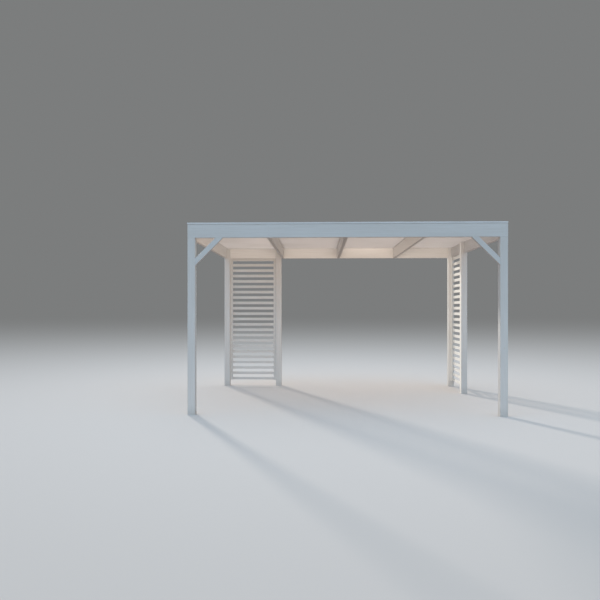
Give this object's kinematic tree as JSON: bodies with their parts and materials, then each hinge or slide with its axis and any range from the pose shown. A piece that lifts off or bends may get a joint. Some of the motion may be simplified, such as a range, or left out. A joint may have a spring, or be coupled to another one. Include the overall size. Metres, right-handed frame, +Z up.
{
  "type": "garden pergola with flat sheet roof and slatted screens",
  "caption": "Open timber garden pergola, painted white: notched square posts, a beam frame with rafters, knee braces at the front, slatted screens and a flat opal sheet roof.",
  "frame": {"origin": "on the ground, at the middle of the area that the pergola covers", "axes": "+X runs along the long front beam to the right as seen from the front, +Y from the open front to the rear side, +Z up"},
  "size_m": [4.008, 3.008, 2.43],
  "materials": {
    "painted_timber": "planed softwood with white opaque paint",
    "opal_sheet": "opal white twin-wall sheet",
    "coated_aluminium": "white powder coat",
    "seal_rubber": "matt light grey rubber strip"
  },
  "bodies": {
    "root": {"front_left_post": "painted_timber", "front_right_post": "painted_timber", "rear_left_post": "painted_timber", "rear_right_post": "painted_timber", "rear_screen_post": "painted_timber", "right_screen_post": "painted_timber", "front_beam": "painted_timber", "rear_beam": "painted_timber", "left_beam": "painted_timber", "right_beam": "painted_timber", "left_rafter": "painted_timber", "middle_rafter": "painted_timber", "right_rafter": "painted_timber", "left_brace": "painted_timber", "right_brace": "painted_timber", "rear_screen_left_batten": "painted_timber", "rear_screen_right_batten": "painted_timber", "rear_screen_slats": "painted_timber", "right_screen_rear_batten": "painted_timber", "right_screen_front_batten": "painted_timber", "right_screen_slats": "painted_timber", "roof_seals": "seal_rubber", "left_roof_sheet": "opal_sheet", "middle_left_roof_sheet": "opal_sheet", "middle_right_roof_sheet": "opal_sheet", "right_roof_sheet": "opal_sheet", "left_cover_bar": "coated_aluminium", "middle_cover_bar": "coated_aluminium", "right_cover_bar": "coated_aluminium", "front_edge_profile": "coated_aluminium", "rear_edge_profile": "coated_aluminium", "left_edge_profile": "coated_aluminium", "right_edge_profile": "coated_aluminium"}
  },
  "joints": []
}
